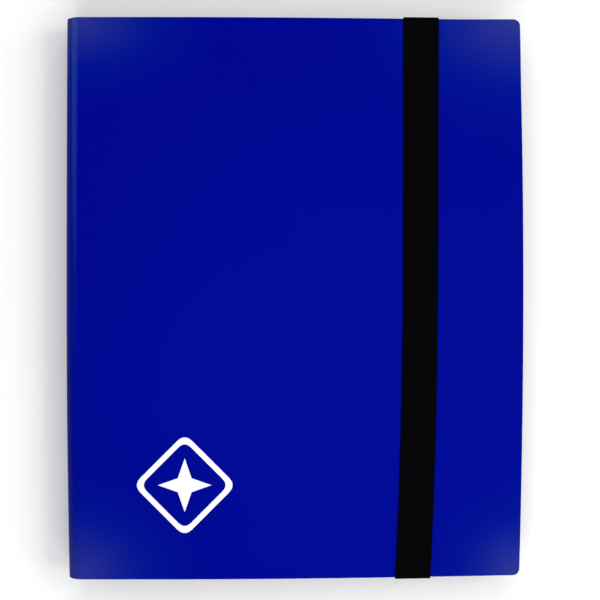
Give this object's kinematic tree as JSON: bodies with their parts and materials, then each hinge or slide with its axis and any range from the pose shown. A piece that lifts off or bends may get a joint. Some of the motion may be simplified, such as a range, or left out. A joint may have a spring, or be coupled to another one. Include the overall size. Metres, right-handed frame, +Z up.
{
  "type": "trading card album",
  "caption": "Soft-cover album whose spine folds flat between two hinged covers, with bound pocket leaves for trading cards and an elastic closing strap.",
  "frame": {"origin": "middle of the album's bounding box in X and Y, on the outer face of the back cover, which the shut album lies on", "axes": "+X from the spine to the fore edge, +Y to the head of the album, +Z up out of the front cover"},
  "size_m": [0.26, 0.3186, 0.024],
  "materials": {
    "cover": "smooth polypropylene with a fine satin texture, deep blue",
    "leaf": "black backing sheet under clear pocket film",
    "liner": "black welded polypropylene",
    "strap": "woven elastic, black",
    "clamp": "pressed steel"
  },
  "bodies": {
    "back_cover": {"back_cover": "cover", "strap_clamp_head": "clamp", "strap_clamp_foot": "clamp"},
    "spine": {"spine": "cover", "back_bend": "cover", "front_bend": "cover", "spine_liner": "liner", "leaf_binding": "liner"},
    "front_cover": {"front_cover": "cover"},
    "strap": {"strap_band": "strap"},
    "leaf_01": {"leaf_01": "leaf"},
    "leaf_02": {"leaf_02": "leaf"},
    "leaf_03": {"leaf_03": "leaf"},
    "leaf_04": {"leaf_04": "leaf"},
    "leaf_05": {"leaf_05": "leaf"},
    "leaf_06": {"leaf_06": "leaf"},
    "leaf_07": {"leaf_07": "leaf"},
    "leaf_08": {"leaf_08": "leaf"},
    "leaf_09": {"leaf_09": "leaf"},
    "leaf_10": {"leaf_10": "leaf"},
    "leaf_11": {"leaf_11": "leaf"},
    "leaf_12": {"leaf_12": "leaf"},
    "leaf_13": {"leaf_13": "leaf"},
    "leaf_14": {"leaf_14": "leaf"},
    "leaf_15": {"leaf_15": "leaf"},
    "leaf_16": {"leaf_16": "leaf"},
    "leaf_17": {"leaf_17": "leaf"},
    "leaf_18": {"leaf_18": "leaf"},
    "leaf_19": {"leaf_19": "leaf"},
    "leaf_20": {"leaf_20": "leaf"}
  },
  "joints": [
    {"name": "back_hinge", "type": "hinge", "parent": "back_cover", "child": "spine", "pos_m": [-0.12756, 0, 0.00244], "axis": [0, -1, 0], "range_deg": [0, 90], "deforming": ["back_bend", "leaf_binding"]},
    {"name": "front_hinge", "type": "hinge", "parent": "spine", "child": "front_cover", "pos_m": [-0.12756, 0, 0.02156], "axis": [0, -1, 0], "range_deg": [0, 90], "deforming": ["front_bend"]},
    {"name": "strap_release", "type": "slide", "parent": "back_cover", "child": "strap", "axis": [0, 0, -1], "range_m": [0, 0.021], "deforming": ["strap_band"]},
    {"name": "leaf_01_turn", "type": "hinge", "parent": "spine", "child": "leaf_01", "pos_m": [-0.1257, 0, 0.0043], "axis": [0, -1, 0], "range_deg": [-90, 0]},
    {"name": "leaf_02_turn", "type": "hinge", "parent": "spine", "child": "leaf_02", "pos_m": [-0.12511, 0, 0.00489], "axis": [0, -1, 0], "range_deg": [-90, 0]},
    {"name": "leaf_03_turn", "type": "hinge", "parent": "spine", "child": "leaf_03", "pos_m": [-0.12452, 0, 0.00548], "axis": [0, -1, 0], "range_deg": [-90, 0]},
    {"name": "leaf_04_turn", "type": "hinge", "parent": "spine", "child": "leaf_04", "pos_m": [-0.12393, 0, 0.00607], "axis": [0, -1, 0], "range_deg": [-90, 0]},
    {"name": "leaf_05_turn", "type": "hinge", "parent": "spine", "child": "leaf_05", "pos_m": [-0.12334, 0, 0.00666], "axis": [0, -1, 0], "range_deg": [-90, 0]},
    {"name": "leaf_06_turn", "type": "hinge", "parent": "spine", "child": "leaf_06", "pos_m": [-0.12276, 0, 0.00724], "axis": [0, -1, 0], "range_deg": [-90, 0]},
    {"name": "leaf_07_turn", "type": "hinge", "parent": "spine", "child": "leaf_07", "pos_m": [-0.12217, 0, 0.00783], "axis": [0, -1, 0], "range_deg": [-90, 0]},
    {"name": "leaf_08_turn", "type": "hinge", "parent": "spine", "child": "leaf_08", "pos_m": [-0.12158, 0, 0.00842], "axis": [0, -1, 0], "range_deg": [-90, 0]},
    {"name": "leaf_09_turn", "type": "hinge", "parent": "spine", "child": "leaf_09", "pos_m": [-0.12099, 0, 0.00901], "axis": [0, -1, 0], "range_deg": [-90, 0]},
    {"name": "leaf_10_turn", "type": "hinge", "parent": "spine", "child": "leaf_10", "pos_m": [-0.1204, 0, 0.0096], "axis": [0, -1, 0], "range_deg": [-90, 0]},
    {"name": "leaf_11_turn", "type": "hinge", "parent": "spine", "child": "leaf_11", "pos_m": [-0.1204, 0, 0.0144], "axis": [0, -1, 0], "range_deg": [0, 90]},
    {"name": "leaf_12_turn", "type": "hinge", "parent": "spine", "child": "leaf_12", "pos_m": [-0.12099, 0, 0.01499], "axis": [0, -1, 0], "range_deg": [0, 90]},
    {"name": "leaf_13_turn", "type": "hinge", "parent": "spine", "child": "leaf_13", "pos_m": [-0.12158, 0, 0.01558], "axis": [0, -1, 0], "range_deg": [0, 90]},
    {"name": "leaf_14_turn", "type": "hinge", "parent": "spine", "child": "leaf_14", "pos_m": [-0.12217, 0, 0.01617], "axis": [0, -1, 0], "range_deg": [0, 90]},
    {"name": "leaf_15_turn", "type": "hinge", "parent": "spine", "child": "leaf_15", "pos_m": [-0.12276, 0, 0.01676], "axis": [0, -1, 0], "range_deg": [0, 90]},
    {"name": "leaf_16_turn", "type": "hinge", "parent": "spine", "child": "leaf_16", "pos_m": [-0.12334, 0, 0.01734], "axis": [0, -1, 0], "range_deg": [0, 90]},
    {"name": "leaf_17_turn", "type": "hinge", "parent": "spine", "child": "leaf_17", "pos_m": [-0.12393, 0, 0.01793], "axis": [0, -1, 0], "range_deg": [0, 90]},
    {"name": "leaf_18_turn", "type": "hinge", "parent": "spine", "child": "leaf_18", "pos_m": [-0.12452, 0, 0.01852], "axis": [0, -1, 0], "range_deg": [0, 90]},
    {"name": "leaf_19_turn", "type": "hinge", "parent": "spine", "child": "leaf_19", "pos_m": [-0.12511, 0, 0.01911], "axis": [0, -1, 0], "range_deg": [0, 90]},
    {"name": "leaf_20_turn", "type": "hinge", "parent": "spine", "child": "leaf_20", "pos_m": [-0.1257, 0, 0.0197], "axis": [0, -1, 0], "range_deg": [0, 90]}
  ],
  "couplings": [
    {"joint": "front_hinge", "follows": "back_hinge", "ratio": 1},
    {"joint": "strap_release", "follows": "back_hinge", "m_per_rad": 0.01336},
    {"joint": "leaf_01_turn", "follows": "back_hinge", "ratio": -1},
    {"joint": "leaf_02_turn", "follows": "back_hinge", "ratio": -1},
    {"joint": "leaf_03_turn", "follows": "back_hinge", "ratio": -1},
    {"joint": "leaf_04_turn", "follows": "back_hinge", "ratio": -1},
    {"joint": "leaf_05_turn", "follows": "back_hinge", "ratio": -1},
    {"joint": "leaf_06_turn", "follows": "back_hinge", "ratio": -1},
    {"joint": "leaf_07_turn", "follows": "back_hinge", "ratio": -1},
    {"joint": "leaf_08_turn", "follows": "back_hinge", "ratio": -1},
    {"joint": "leaf_09_turn", "follows": "back_hinge", "ratio": -1},
    {"joint": "leaf_10_turn", "follows": "back_hinge", "ratio": -1},
    {"joint": "leaf_11_turn", "follows": "back_hinge", "ratio": 1},
    {"joint": "leaf_12_turn", "follows": "back_hinge", "ratio": 1},
    {"joint": "leaf_13_turn", "follows": "back_hinge", "ratio": 1},
    {"joint": "leaf_14_turn", "follows": "back_hinge", "ratio": 1},
    {"joint": "leaf_15_turn", "follows": "back_hinge", "ratio": 1},
    {"joint": "leaf_16_turn", "follows": "back_hinge", "ratio": 1},
    {"joint": "leaf_17_turn", "follows": "back_hinge", "ratio": 1},
    {"joint": "leaf_18_turn", "follows": "back_hinge", "ratio": 1},
    {"joint": "leaf_19_turn", "follows": "back_hinge", "ratio": 1},
    {"joint": "leaf_20_turn", "follows": "back_hinge", "ratio": 1}
  ]
}
